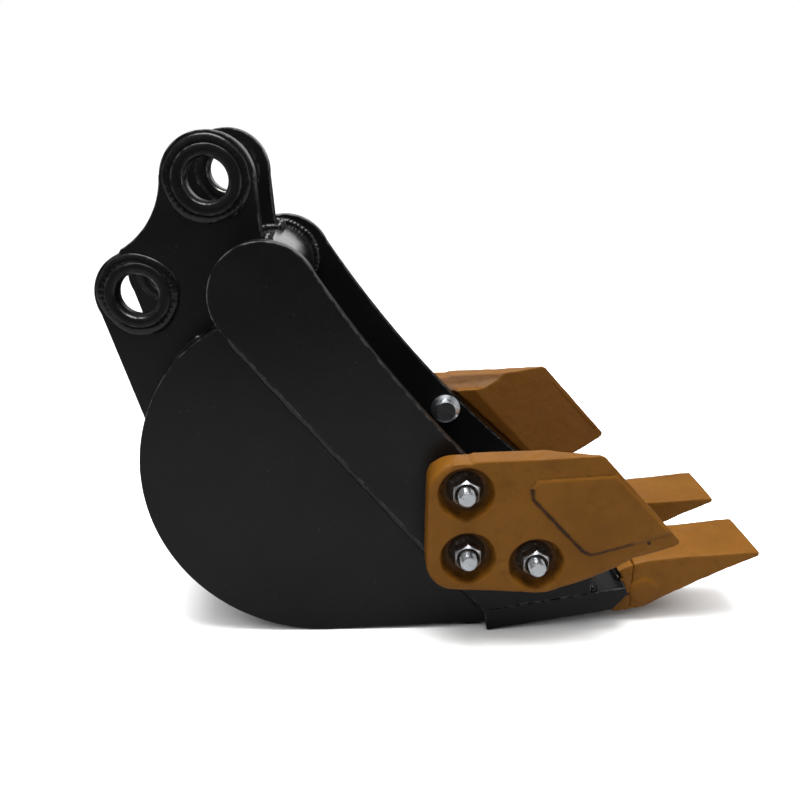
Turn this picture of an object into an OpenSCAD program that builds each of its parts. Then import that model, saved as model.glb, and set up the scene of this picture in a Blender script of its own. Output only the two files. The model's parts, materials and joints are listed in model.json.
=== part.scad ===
// Narrow digging bucket for a mini excavator, with two pin-on teeth and
// two bolt-on side cutters. Millimetres. The origin is the centre of the
// stick pin. +X points forward to the teeth, +Y runs along the pins to the
// left side, +Z is up. The bucket stands on its drum and its lip's heel.

/* [Pins] */
// Diameter of the stick pin and link pin bores
pin_d = 30; // [25:1:32]
// Distance between the two pin centres
pin_spacing = 95; // [90:1:100]
// Outside diameter of the stick pin bosses
stick_boss_d = 48; // [44:1:52]
// Outside diameter of the link pin bosses
link_boss_d = 46; // [42:1:50]

/* [Ears] */
// Clear gap between the two ears
ear_gap = 75; // [70:1:78]
// Thickness of each ear plate
ear_t = 12; // [10:1:12]
// How far a boss stands out of its ear
boss_proud = 4; // [2:0.5:6]

/* [Shell] */
// Width over the lip and the side bars
bucket_w = 168; // [160:1:180]
// Thickness of the upper side bars
bar_t = 10; // [8:1:12]
// Thickness of the lower cheek plates
cheek_t = 5; // [4:0.5:6]
// Thickness of the rolled wrapper
wrapper_t = 5; // [4:0.5:6]
// Radius of the drum of the bucket
drum_r = 130; // [126:1:134]
// Outside diameter of the cross tube
tube_d = 57; // [54:1:58]
// Wall thickness of the cross tube
tube_t = 6; // [4:0.5:8]

/* [Lip] */
// Thickness of the cutting edge plate
lip_t = 17.5; // [16:0.5:18]
// Slope of the cutting edge plate in degrees
lip_slope = 9.5; // [9:0.5:10]

/* [Teeth] */
// Width of each tooth
tooth_w = 52; // [48:1:54]
// Distance between the middles of the two teeth
tooth_pitch = 96; // [90:1:100]
// Widening of a tooth's cutting edge on each side
tooth_flare = 3; // [0:0.5:5]
// Diameter of the tooth retaining pins
tooth_pin_d = 10; // [8:1:11]

/* [Side cutters] */
// Thickness of a cutter at its bolts
cutter_t = 26.5; // [24:0.5:28]
// Diameter of a bolt pocket at the outer face
pocket_d = 39; // [36:1:40]
// Depth of a bolt pocket
pocket_depth = 11.5; // [10:0.5:13]
// Thread size of the cutter bolts
bolt_d = 12; // [10:2:12]
// Length of the cutter bolts under the head
bolt_length = 45; // [45:5:50]

/* [Hidden] */
$fn = 96;

// Half widths, measured from the middle plane
half_w = bucket_w / 2;
bar_in = half_w - bar_t;
ear_in = ear_gap / 2;
ear_out = ear_in + ear_t;
boss_out = ear_out + boss_proud;
cutter_out = half_w + cutter_t;
pocket_floor = cutter_out - pocket_depth;

// Pins and cross tube, as [x, z] in the side view
link_angle = 235.9;
link_pin = pin_spacing * [cos(link_angle), sin(link_angle)];
tube_c = [35, -72];
stick_lobe_r = 32.3;
link_lobe_r = 31;
hollow_r = 60;
hollow_side = [sin(link_angle), -cos(link_angle)];
hollow_reach = sqrt(pow(stick_lobe_r + hollow_r + 0.3, 2) - pow(pin_spacing / 2, 2));
hollow_c = link_pin / 2 + hollow_reach * hollow_side;

// Side outline: a drum arc, a tighter arc up its back, and a flat bottom
drum_c = [73.5, -204];
back_r = drum_r - 26;
back_turn = 147.2;
back_c = drum_c + (drum_r - back_r) * [cos(back_turn), sin(back_turn)];
back_end = 105;
bottom_turn = 272.2;
wrapper_inset = 1.5;
heel = [196.5, -334];
lip_length = 109;

// Side bar: a round head about bar_head and a blade down to the lip
bar_head = [38.6, -74.8];
bar_head_r = 38;
seam_top = [9.9, -99.3];
seam_foot = [194, -318];
bar_front = [[68.5, -52.2], [142, -165], [238, -249]];
bar_toe = [274.5, -283];
bar_foot = [274.5, -312];
bar_edge_turn = 47.1;

// Side cutter: bolt places, blade edge and shoulder
bolt_holes = [[175, -208], [177.4, -257.5], [226.3, -263]];
cutter_corners = [[169.8, -206], [169, -262.5]];
cutter_corner_r = 21.3;
cutter_top_turn = 2.7;
cutter_top_t = 15.5;
blade_corner = [268.7, -180];
blade_turn = 41.8;
blade_edge_t = 1;
shoulder_in = 4.5;
shoulder_gap = 0.8;
hex_af = 1.5 * bolt_d;
flange_d = 2.2 * bolt_d;
hex_d = hex_af / cos(30);
nut_h = bolt_d;
head_h = 9;
flange_t = 3;

// Teeth
tooth_y = tooth_pitch / 2;
tooth_in = tooth_y - tooth_w / 2;
tooth_pin = [314.7, -308];
socket_mouth = 309;
nose_w = tooth_w - 10;
pin_reach = tooth_w - 4;
pin_clear = 0.4;
ear_pad_r = 11;
ear_pad_t = 1.5;
weld_leg = 4.5;

// A quadratic curve from p[0] to p[2] that aims at p[1]
function curve(p, n) = [for (i = [0 : n])
    let (t = i / n) (1 - t) * (1 - t) * p[0] + 2 * t * (1 - t) * p[1] + t * t * p[2]];
// A point at a radius and an angle from a centre
function polar(c, r, a) = c + r * [cos(a), sin(a)];
// A point given along and above the lip's underside
function on_lip(along, above) = heel + along * [cos(lip_slope), sin(lip_slope)]
    + above * [-sin(lip_slope), cos(lip_slope)];

// Stands a side-view outline up as a plate: from y = -near to y = -(near + t)
module plate(near, t) {
    translate([0, -near, 0]) rotate([90, 0, 0]) linear_extrude(t) children();
}

// A round bar along Y between two distances from the middle plane
module along_y(p, near, t, r) {
    translate([p[0], -near, p[1]]) rotate([90, 0, 0]) cylinder(h = t, r = r);
}

// A triangular fillet bead round a bar of radius r, on a face at y = -face,
// rising outwards
module ring_fillet(p, face, r, leg) {
    translate([p[0], -face, p[1]]) rotate([90, 0, 0]) rotate_extrude()
        polygon([[r, 0], [r + leg, 0], [r, leg]]);
}

// A slice of pie between two angles
module pie(c, r, a0, a1) {
    intersection() {
        translate(c) circle(r);
        polygon([c, polar(c, 2 * r, a0), polar(c, 2 * r, (a0 + a1) / 2), polar(c, 2 * r, a1)]);
    }
}

// The bucket's filled side outline, drawn in by a distance
module drum_outline(inset) {
    pie(back_c, back_r - inset, back_end, back_turn + 3);
    pie(drum_c, drum_r - inset, back_turn, bottom_turn);
    polygon([polar(back_c, back_r - inset, back_end), back_c, polar(drum_c, drum_r - inset, back_turn),
        drum_c, polar(drum_c, drum_r - inset, bottom_turn),
        [heel[0] + 4, heel[1] + 4.6 + inset], on_lip(40, lip_t), bar_head]);
}

module lip_outline() {
    polygon([on_lip(0, 0), on_lip(97, 0), on_lip(lip_length + 1, 11.5),
        on_lip(lip_length, lip_t), on_lip(0, lip_t)]);
}

module bar_outline() {
    difference() {
        union() {
            translate(bar_head) circle(bar_head_r);
            polygon(concat([bar_head, seam_top, seam_foot, bar_foot, bar_toe],
                [for (i = [12 : -1 : 0]) curve(bar_front, 12)[i]]));
        }
        lip_outline();
    }
}

// The plate between the two lobes of an ear, down to the back of the drum
module ear_web_outline() {
    polygon([polar([0, 0], stick_lobe_r - 0.1, -4), [35, -40], tube_c, polar(back_c, back_r - 20, 130),
        polar(drum_c, drum_r - 10, 170), [-54.5, -182], polar(link_pin, link_lobe_r - 0.1, 186),
        link_pin + 0.8 * link_lobe_r * hollow_side, 0.9 * stick_lobe_r * hollow_side]);
}

module cutter_outline() {
    polygon(concat([for (a = [90 : 15 : 180]) polar(cutter_corners[0], cutter_corner_r, a)],
        [for (a = [180 : 15 : 270]) polar(cutter_corners[1], cutter_corner_r, a)],
        [[201, -285.5], [226.6, -287.5], [233.9, -287.2], [241, -285.2], [266, -276.3], [284.8, -267.7],
        [296, -260.6], [307.6, -256.8], [327.5, -248.8], [328, -245.8], blade_corner, [218, -181.9],
        [180.4, -183.1], [177.8, -184.6]]));
}

// A tooth seen from above, wider at its cutting edge
module tooth_plan() {
    polygon([[300, -tooth_in], [335, -tooth_in], [405, tooth_flare - tooth_in],
        [405, -tooth_in - tooth_w - tooth_flare], [335, -tooth_in - tooth_w], [300, -tooth_in - tooth_w]]);
}

module tooth_outline() {
    polygon([[309, -284], [320, -282], [344, -278.6], [363, -277.4], [402, -273.6], [404, -275],
        [402.5, -277.6], [377, -290], [347, -306.2], [332, -314.5], [320, -322], [309, -324]]);
}

// The tapered nose that carries a tooth, grown by a clearance
module nose_outline(gap) {
    polygon([[303, -298 + gap], [316, -289.5 + gap], [356 + gap, -285.5 + gap],
        [356 + gap, -293 - gap], [320, -316 - gap], [303, -320 - gap]]);
}

// The part of an adapter in front of the lip, welded along the lip's nose
module adapter_outline() {
    difference() {
        polygon([[296.8, -289.4], [306.5, -285.4], [socket_mouth - 0.3, -285.2],
            [socket_mouth - 0.3, -324], [294.9, -325.5], [289, -314], [298, -301], [301.2, -296.4]]);
        lip_outline();
    }
}

module to_left() { mirror([0, 1, 0]) children(); }

module cross_tube() {
    color("#28282a") difference() {
        along_y(tube_c, -bar_in, 2 * bar_in, tube_d / 2);
        along_y(tube_c, -bar_in - 1, 2 * bar_in + 2, tube_d / 2 - tube_t);
    }
}

module wrapper() {
    color("#28282a") plate(-bar_in, 2 * bar_in) difference() {
        drum_outline(wrapper_inset);
        drum_outline(wrapper_inset + wrapper_t);
        translate(tube_c) circle(tube_d / 2);
        lip_outline();
        polygon([bar_head, on_lip(80, lip_t + 30), on_lip(60, -5), on_lip(3, lip_t / 2), on_lip(0, lip_t),
            polar(drum_c, 100, 270), back_c]);
    }
}

module lip_plate() {
    color("#28282a") plate(-half_w, bucket_w) lip_outline();
}

module side_bar_right() {
    color("#28282a") difference() {
        plate(bar_in, bar_t) bar_outline();
        for (p = bolt_holes) along_y(p, bar_in - 1, bar_t + 2, bolt_d / 2 + 0.5);
    }
}

module cheek_plate_right() {
    color("#28282a") plate(bar_in, cheek_t) difference() {
        drum_outline(0);
        bar_outline();
        lip_outline();
    }
}

module ear_right() {
    color("#28282a") difference() {
        union() {
            along_y([0, 0], ear_in, ear_t, stick_lobe_r);
            along_y(link_pin, ear_in, ear_t, link_lobe_r);
            plate(ear_in, ear_t) ear_web_outline();
        }
        along_y(hollow_c, ear_in - 1, ear_t + 2, hollow_r);
        along_y(tube_c, ear_in - 1, ear_t + 2, tube_d / 2);
        plate(ear_in - 1, ear_t + 2) drum_outline(wrapper_inset);
        along_y([0, 0], ear_in - 1, ear_t + 2, stick_boss_d / 2);
        along_y(link_pin, ear_in - 1, ear_t + 2, link_boss_d / 2);
    }
}

// A turned sleeve set through an ear, with its bore
module boss(p, d) {
    color("#2b2b2e") difference() {
        along_y(p, ear_in, boss_out - ear_in, d / 2);
        along_y(p, ear_in - 1, boss_out - ear_in + 2, pin_d / 2);
    }
}

module stick_boss_right() { boss([0, 0], stick_boss_d); }
module link_boss_right() { boss(link_pin, link_boss_d); }

module boss_weld_right() {
    color("#3a3a3c") {
        ring_fillet([0, 0], ear_out, stick_boss_d / 2, boss_proud);
        ring_fillet(link_pin, ear_out, link_boss_d / 2, boss_proud);
    }
}

module tube_weld_right() {
    color("#3a3a3c") difference() {
        translate([tube_c[0], -bar_in, tube_c[1]]) rotate([-90, 0, 0]) rotate_extrude()
            polygon([[tube_d / 2, 0], [tube_d / 2 + weld_leg, 0], [tube_d / 2, weld_leg]]);
        wrapper();
        plate(bar_in - weld_leg - 1, weld_leg + 2) difference() {
            translate(tube_c) circle(tube_d);
            bar_outline();
        }
    }
}

module bar_weld_right() {
    seam = seam_foot - seam_top;
    seam_long = norm(seam);
    color("#3a3a3c") translate([seam_top[0], -bar_in - cheek_t, seam_top[1]])
        rotate([0, atan2(-seam[1], seam[0]), 0]) rotate([0, 90, 0]) translate([0, 0, 6])
            linear_extrude(seam_long - 12)
                polygon([[0, 0], [bar_t - cheek_t, 0], [0, -(bar_t - cheek_t)]]);
}

module tooth_adapter_right() {
    color("#c98a2e") difference() {
        union() {
            plate(tooth_in, tooth_w) adapter_outline();
            plate(tooth_y - nose_w / 2, nose_w) nose_outline(0);
        }
        plate(tooth_in - 1, tooth_w + 2) lip_outline();
        along_y(tooth_pin, tooth_in, tooth_w, tooth_pin_d / 2);
    }
}

module tooth_right() {
    color("#c98a2e") difference() {
        union() {
            intersection() {
                plate(tooth_in - tooth_flare, tooth_w + 2 * tooth_flare) tooth_outline();
                translate([0, 0, -340]) linear_extrude(80) tooth_plan();
            }
            along_y(tooth_pin, tooth_in + tooth_w - 1, ear_pad_t + 1, ear_pad_r);
        }
        plate(tooth_y - nose_w / 2 - pin_clear, nose_w + 2 * pin_clear) nose_outline(pin_clear);
        along_y(tooth_pin, tooth_in - 1, pin_reach + 3, tooth_pin_d / 2);
        plate(tooth_in - 1, tooth_w + 1) polygon([[300, -330], [socket_mouth, -330],
            [socket_mouth, -280], [300, -280]]);
    }
}

// The pin goes in from the tooth's inner side and stops in a blind hole
module tooth_pin_right() {
    color("#8c8c88") along_y(tooth_pin, tooth_in + 2, pin_reach, tooth_pin_d / 2);
}

// The ring that closes the pin's hole behind it
module pin_lock_right() {
    color("#8c8c88") difference() {
        along_y(tooth_pin, tooth_in, 2, tooth_pin_d / 2);
        along_y(tooth_pin, tooth_in - 1, 4, tooth_pin_d / 4);
    }
}

module side_cutter_right() {
    color("#c98a2e") difference() {
        plate(half_w - shoulder_in, cutter_t + shoulder_in) cutter_outline();
        // Seat on the side bar, ending in the sloped shoulder before its front edge
        translate([bar_front[2][0], 0, bar_front[2][1]]) rotate([0, -bar_edge_turn, 0])
            translate([0, 0, -200]) linear_extrude(400) polygon([[shoulder_gap, -half_w],
                [shoulder_gap + shoulder_in, -half_w + shoulder_in],
                [shoulder_gap + shoulder_in, 0], [-200, 0], [-200, -half_w]]);
        // The inner side falls away to the top edge
        translate([140, 0, cutter_corners[0][1] + cutter_corner_r - 1.4]) rotate([0, -cutter_top_turn, 0])
            rotate([90, 0, 90]) linear_extrude(150) polygon([[cutter_top_t - cutter_out, 4],
                [cutter_top_t - cutter_out, 0], [-half_w, -9], [-half_w + 10, -9], [-half_w + 10, 4]]);
        // The blade thins on its inner side to its front edge
        translate([blade_corner[0], 0, blade_corner[1]]) rotate([0, -blade_turn, 0])
            translate([0, 0, -200]) linear_extrude(400) polygon([[10, -cutter_out - 4],
                [0, -cutter_out + blade_edge_t], [-58.5, -half_w + shoulder_in], [-58.5, 0], [10, 0]]);
        for (p = bolt_holes) {
            along_y(p, half_w - 10, cutter_t + 12, bolt_d / 2 + 0.5);
            translate([p[0], -pocket_floor, p[1]]) rotate([90, 0, 0])
                cylinder(h = pocket_depth + 0.01, r1 = pocket_d / 2 - 2, r2 = pocket_d / 2);
        }
    }
}

// Flange bolts: heads inside the bucket, threaded ends out through the cutter
module cutter_bolts_right() {
    color("#b9bcc0") for (p = bolt_holes) {
        along_y(p, bar_in, bolt_length, bolt_d / 2);
        along_y(p, bar_in - flange_t, flange_t, flange_d / 2);
        translate([p[0], -bar_in + flange_t, p[1]]) rotate([-90, 0, 0])
            cylinder(h = head_h - flange_t, d = hex_d, $fn = 6);
    }
}

module cutter_nuts_right() {
    color("#b9bcc0") for (p = bolt_holes) difference() {
        union() {
            along_y(p, pocket_floor, flange_t, flange_d / 2);
            translate([p[0], -pocket_floor - flange_t, p[1]]) rotate([90, 0, 0])
                cylinder(h = nut_h - flange_t, d = hex_d, $fn = 6);
        }
        along_y(p, pocket_floor - 1, nut_h + 2, bolt_d / 2);
    }
}

cross_tube();
wrapper();
lip_plate();
side_bar_right();
to_left() side_bar_right();  // side_bar_left
cheek_plate_right();
to_left() cheek_plate_right();  // cheek_plate_left
ear_right();
to_left() ear_right();  // ear_left
stick_boss_right();
to_left() stick_boss_right();  // stick_boss_left
link_boss_right();
to_left() link_boss_right();  // link_boss_left
boss_weld_right();
to_left() boss_weld_right();  // boss_weld_left
tube_weld_right();
to_left() tube_weld_right();  // tube_weld_left
bar_weld_right();
to_left() bar_weld_right();  // bar_weld_left
tooth_adapter_right();
to_left() tooth_adapter_right();  // tooth_adapter_left
tooth_right();
to_left() tooth_right();  // tooth_left
tooth_pin_right();
to_left() tooth_pin_right();  // tooth_pin_left
pin_lock_right();
to_left() pin_lock_right();  // pin_lock_left
side_cutter_right();
to_left() side_cutter_right();  // side_cutter_left
cutter_bolts_right();
to_left() cutter_bolts_right();  // cutter_bolts_left
cutter_nuts_right();
to_left() cutter_nuts_right();  // cutter_nuts_left
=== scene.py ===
# A narrow digging bucket for a mini excavator: a welded steel shell with two
# hanger ears, two cast teeth on welded adapters, and two cast side cutters
# held by flange bolts. Metres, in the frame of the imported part.
import json
import math

import bpy
from mathutils import Matrix, Vector, noise


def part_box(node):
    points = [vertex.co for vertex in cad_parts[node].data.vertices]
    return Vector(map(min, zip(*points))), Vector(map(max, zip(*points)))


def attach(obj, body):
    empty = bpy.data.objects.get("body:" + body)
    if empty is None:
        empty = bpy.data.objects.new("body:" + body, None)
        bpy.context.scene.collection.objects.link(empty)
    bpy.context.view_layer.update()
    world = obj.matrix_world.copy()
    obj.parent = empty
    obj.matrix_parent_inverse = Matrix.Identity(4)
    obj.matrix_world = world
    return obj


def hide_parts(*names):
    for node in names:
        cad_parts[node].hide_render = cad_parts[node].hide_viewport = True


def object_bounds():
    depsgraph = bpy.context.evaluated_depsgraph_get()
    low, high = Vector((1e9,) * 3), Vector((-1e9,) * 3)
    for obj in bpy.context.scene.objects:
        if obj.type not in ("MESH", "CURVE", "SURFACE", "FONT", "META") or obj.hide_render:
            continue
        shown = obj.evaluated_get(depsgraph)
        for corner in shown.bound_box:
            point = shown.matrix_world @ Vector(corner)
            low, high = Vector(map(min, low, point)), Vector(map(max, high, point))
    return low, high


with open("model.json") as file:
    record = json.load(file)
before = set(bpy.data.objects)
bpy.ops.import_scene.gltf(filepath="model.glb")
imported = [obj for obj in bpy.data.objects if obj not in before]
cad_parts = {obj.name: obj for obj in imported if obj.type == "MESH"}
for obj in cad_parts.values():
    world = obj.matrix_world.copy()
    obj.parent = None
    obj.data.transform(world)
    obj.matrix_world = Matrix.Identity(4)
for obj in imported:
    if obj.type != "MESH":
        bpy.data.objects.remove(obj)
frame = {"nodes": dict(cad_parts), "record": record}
cad_box = [list(corner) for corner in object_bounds()]


# ---------------------------------------------------------------- floor, light
# The bucket stands on a pale studio floor. One broad soft box hangs over it,
# weaker ones stand in front, to the right and behind, and a dark flag on each
# side gives the gloss black paint something dark to mirror.
bpy.context.scene.view_settings.view_transform = "Standard"
floor_z = cad_box[0][2]


def new_material(name):
    """An empty node material with its Principled shader; returns its parts."""
    material = bpy.data.materials.new(name)
    material.use_nodes = True
    tree = material.node_tree
    return material, tree, tree.nodes["Principled BSDF"]


bpy.ops.object.select_all(action="DESELECT")
bpy.ops.mesh.primitive_circle_add(vertices=96, radius=9, fill_type="NGON",
                                  location=(0, 0, floor_z - 0.0004))
floor = bpy.context.object
floor.name = "studio_floor"
bpy.ops.object.transform_apply()
pale_floor, tree, shader = new_material("pale floor")
# The floor looks near white, but throws back less light than it shows
ray = tree.nodes.new("ShaderNodeLightPath")
shade = tree.nodes.new("ShaderNodeMapRange")
shade.inputs["To Min"].default_value = 0.21
shade.inputs["To Max"].default_value = 0.86
tree.links.new(ray.outputs["Is Camera Ray"], shade.inputs["Value"])
tree.links.new(shade.outputs["Result"], shader.inputs["Base Color"])
shader.inputs["Roughness"].default_value = 0.8
shader.inputs["Specular IOR Level"].default_value = 0.1
floor.data.materials.append(pale_floor)

# Flags: seen only in reflections, so they never darken a view. The rear one
# is low, so the edges and the tube can mirror the rear soft box over it.
flag_length = 5
flag_distance = 0.98
for side, height in ((-1, 1.3), (1, 0.28)):
    bpy.ops.mesh.primitive_grid_add(x_subdivisions=2, y_subdivisions=2, size=1)
    flag = bpy.context.object
    flag.name = "dark_flag_front" if side < 0 else "dark_flag_back"
    for vertex in flag.data.vertices:
        x, y, _ = vertex.co
        vertex.co = (flag_length * x, side * flag_distance, floor_z + (y + 0.5) * height)
    dark_flag, tree, shader = new_material(flag.name)
    shader.inputs["Base Color"].default_value = (0.01, 0.01, 0.01, 1)
    shader.inputs["Specular IOR Level"].default_value = 0
    flag.data.materials.append(dark_flag)
    flag.visible_camera = False
    flag.visible_diffuse = False
    flag.visible_shadow = False

# The sky is white to the camera, but lights the bucket much less than it shows
world = bpy.data.worlds.new("studio")
bpy.context.scene.world = world
world.use_nodes = True
tree = world.node_tree
background = tree.nodes["Background"]
ray = tree.nodes.new("ShaderNodeLightPath")
brightness = tree.nodes.new("ShaderNodeMapRange")
brightness.inputs["To Min"].default_value = 0.26
brightness.inputs["To Max"].default_value = 1.0
tree.links.new(ray.outputs["Is Camera Ray"], brightness.inputs["Value"])
tree.links.new(brightness.outputs["Result"], background.inputs["Strength"])
background.inputs["Color"].default_value = (1, 1, 1, 1)


def soft_box(name, size, place, aim, watts):
    """A rectangular area light that looks at a point."""
    lamp = bpy.data.lights.new(name, "AREA")
    lamp.shape = "RECTANGLE"
    lamp.size, lamp.size_y = size
    lamp.energy = watts
    box = bpy.data.objects.new(name, lamp)
    box.location = place
    box.rotation_euler = (Vector(place) - Vector(aim)).to_track_quat("Z", "Y").to_euler()
    box.visible_camera = False
    bpy.context.collection.objects.link(box)


bucket_middle = (0.1, 0, -0.2)
soft_box("overhead_soft_box", (1.2, 0.9), (0.05, -0.1, 1.25), bucket_middle, 28)
soft_box("front_soft_box", (0.9, 0.5), (-0.7, -1.3, 0.6), bucket_middle, 3)
soft_box("right_soft_box", (0.4, 1.1), (1.3, -0.25, 0.35), bucket_middle, 1.5)
soft_box("rear_soft_box", (1.0, 0.5), (0.2, 1.4, 0.3), (0.1, 0, 0), 1.4)

# A wash that lights the floor alone, so it stays even out to the horizon
wash_light = bpy.data.lights.new("floor_wash", "SUN")
wash_light.energy = 3.4
wash_light.angle = math.radians(100)
wash = bpy.data.objects.new("floor_wash", wash_light)
wash.location = (0, 0, 2)
bpy.context.collection.objects.link(wash)
lit_by_wash = bpy.data.collections.new("lit by the wash")
lit_by_wash.objects.link(floor)
wash.light_linking.receiver_collection = lit_by_wash

lens_data = bpy.data.cameras.new("camera")
lens_data.sensor_width = 36
lens_data.lens = 38.8
lens_data.clip_start = 0.01
camera = bpy.data.objects.new("camera", lens_data)
camera.location = (0.11298, -0.65351, 0.04277)
camera.rotation_euler = (math.radians(71.573), 0, math.radians(-1.693))
bpy.context.collection.objects.link(camera)
bpy.context.scene.camera = camera


# ---------------------------------------------------------------- black shell
# The shell is flame-cut plate and one rolled wrapper, welded up and sprayed
# semi-gloss black. Its cut edges are broken to a small radius, where the
# paint is thin and rubs through first.
def effect(name, inputs, outputs):
    """A shader node group with named sockets, and its two ends."""
    group = bpy.data.node_groups.new(name, "ShaderNodeTree")
    for label, kind, value in inputs:
        socket = group.interface.new_socket(label, in_out="INPUT", socket_type=kind)
        if value is not None:
            socket.default_value = value
    for label, kind in outputs:
        group.interface.new_socket(label, in_out="OUTPUT", socket_type=kind)
    return group, group.nodes.new("NodeGroupInput"), group.nodes.new("NodeGroupOutput")


def node(tree, kind, wires=(), **settings):
    """Adds a node, sets its values and links its inputs."""
    made = tree.nodes.new(kind)
    for key, value in settings.items():
        if hasattr(made, key):
            setattr(made, key, value)
        else:
            made.inputs[key.replace("_", " ").title()].default_value = value
    for target, source in dict(wires).items():
        tree.links.new(source, made.inputs[target])
    return made


def noise_field(tree, where, scale, detail=3.0, roughness=0.55):
    """Fractal noise on the given coordinates."""
    field = node(tree, "ShaderNodeTexNoise", {"Vector": where})
    field.inputs["Scale"].default_value = scale
    field.inputs["Detail"].default_value = detail
    field.inputs["Roughness"].default_value = roughness
    return field.outputs["Fac"]


def ramp(tree, value, low, high, to_low=0.0, to_high=1.0):
    """Stretches part of a range of values to another range."""
    step = node(tree, "ShaderNodeMapRange", {"Value": value})
    limits = (("From Min", low), ("From Max", high), ("To Min", to_low), ("To Max", to_high))
    for label, number in limits:
        step.inputs[label].default_value = number
    return step.outputs["Result"]


def combine(tree, operation, a, b):
    """Arithmetic on two values, either of which may be a number."""
    step = node(tree, "ShaderNodeMath", operation=operation)
    for slot_number, value in enumerate((a, b)):
        if isinstance(value, (int, float)):
            step.inputs[slot_number].default_value = value
        else:
            tree.links.new(value, step.inputs[slot_number])
    return step.outputs[0]


def mix_colour(tree, share, a, b):
    """Mixes two colours by a share; either may be a plain colour."""
    step = node(tree, "ShaderNodeMix", data_type="RGBA")
    tree.links.new(share, step.inputs["Factor"])
    for label, value in ((6, a), (7, b)):
        if isinstance(value, tuple):
            step.inputs[label].default_value = (*value, 1)
        else:
            tree.links.new(value, step.inputs[label])
    return step.outputs[2]


# Bare metal where an edge is rubbed
edge_rub, ends_in, ends_out = effect(
    "edge rub",
    (("Vector", "NodeSocketVector", None), ("Radius", "NodeSocketFloat", 0.001),
     ("Reach", "NodeSocketFloat", 0.5)),
    (("Mask", "NodeSocketFloat"),))
rounded = node(edge_rub, "ShaderNodeBevel", {"Radius": ends_in.outputs["Radius"]}, samples=4)
flat = node(edge_rub, "ShaderNodeNewGeometry")
turn = node(edge_rub, "ShaderNodeVectorMath", {0: rounded.outputs[0], 1: flat.outputs["Normal"]},
            operation="DOT_PRODUCT")
rubbed = ramp(edge_rub, turn.outputs["Value"], 1.0, 0.93)
patches = ramp(edge_rub, noise_field(edge_rub, ends_in.outputs["Vector"], 160, 4), 0.44, 0.6)
broken = combine(edge_rub, "MULTIPLY", rubbed, patches)
reached = combine(edge_rub, "MULTIPLY", broken, ends_in.outputs["Reach"])
edge_rub.links.new(reached, ends_out.inputs["Mask"])

# Loose specks of dust or chipped paint
specks, ends_in, ends_out = effect(
    "specks",
    (("Vector", "NodeSocketVector", None), ("Scale", "NodeSocketFloat", 90.0),
     ("Size", "NodeSocketFloat", 0.12), ("Share", "NodeSocketFloat", 0.8)),
    (("Mask", "NodeSocketFloat"),))
cells = node(specks, "ShaderNodeTexVoronoi",
             {"Vector": ends_in.outputs["Vector"], "Scale": ends_in.outputs["Scale"]})
near = combine(specks, "LESS_THAN", cells.outputs["Distance"], ends_in.outputs["Size"])
tint = node(specks, "ShaderNodeSeparateColor", {"Color": cells.outputs["Color"]})
chosen = combine(specks, "GREATER_THAN", tint.outputs[0], ends_in.outputs["Share"])
specks.links.new(combine(specks, "MULTIPLY", near, chosen), ends_out.inputs["Mask"])

# The fine relief of a sprayed, cast or plated skin
skin_relief, ends_in, ends_out = effect(
    "skin relief",
    (("Vector", "NodeSocketVector", None), ("Scale", "NodeSocketFloat", 400.0),
     ("Depth", "NodeSocketFloat", 1.0)),
    (("Height", "NodeSocketFloat"),))
coarse = node(skin_relief, "ShaderNodeTexNoise",
              {"Vector": ends_in.outputs["Vector"], "Scale": ends_in.outputs["Scale"]}, detail=4.0)
relief = combine(skin_relief, "MULTIPLY", coarse.outputs["Fac"], ends_in.outputs["Depth"])
skin_relief.links.new(relief, ends_out.inputs["Height"])


def use_effect(tree, group, where, **values):
    """Places a shared effect in a material with its own values."""
    placed = tree.nodes.new("ShaderNodeGroup")
    placed.node_tree = group
    tree.links.new(where, placed.inputs["Vector"])
    for key, value in values.items():
        placed.inputs[key].default_value = value
    return placed.outputs[0]


def add_bump(tree, shader, height, distance, strength=1.0):
    """Feeds a height to the shader's normal through a bump node."""
    bump = node(tree, "ShaderNodeBump", {"Height": height})
    bump.inputs["Distance"].default_value = distance
    bump.inputs["Strength"].default_value = strength
    tree.links.new(bump.outputs["Normal"], shader.inputs["Normal"])


def black_paint(name, roughness, rub, dust=0.86, shine=0.27):
    """Semi-gloss black paint with faint clouds, dust specks and rubbed edges."""
    material, tree, shader = new_material(name)
    where = node(tree, "ShaderNodeTexCoord").outputs["Object"]
    clouds = ramp(tree, noise_field(tree, where, 9, 4), 0.35, 0.65)
    colour = mix_colour(tree, clouds, (0.0050, 0.0052, 0.0058), (0.0080, 0.0083, 0.0090))
    dusty = use_effect(tree, specks, where, Scale=170.0, Size=0.1, Share=dust)
    colour = mix_colour(tree, combine(tree, "MULTIPLY", dusty, 0.13), colour, (0.2, 0.19, 0.17))
    worn = use_effect(tree, edge_rub, where, Radius=0.0011, Reach=rub)
    colour = mix_colour(tree, worn, colour, (0.42, 0.41, 0.39))
    tree.links.new(combine(tree, "MULTIPLY", worn, 0.85), shader.inputs["Metallic"])
    tree.links.new(colour, shader.inputs["Base Color"])
    gloss = ramp(tree, noise_field(tree, where, 26, 5), 0.3, 0.7, roughness - 0.05, roughness + 0.07)
    matt_dust = combine(tree, "MULTIPLY", dusty, 0.3)
    tree.links.new(combine(tree, "ADD", gloss, matt_dust), shader.inputs["Roughness"])
    shader.inputs["Specular IOR Level"].default_value = shine
    add_bump(tree, shader, use_effect(tree, skin_relief, where, Scale=330.0, Depth=1.0), 0.00035, 0.35)
    return material


plate_paint = black_paint("black plate paint", 0.33, 0.45)
bar_paint = black_paint("black ear and bar paint", 0.33, 0.95)
tube_paint = black_paint("black tube paint", 0.14, 0.5, shine=0.8)


def only(piece):
    """Makes one piece the selected and active one."""
    bpy.ops.object.select_all(action="DESELECT")
    piece.select_set(True)
    bpy.context.view_layer.objects.active = piece


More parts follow.
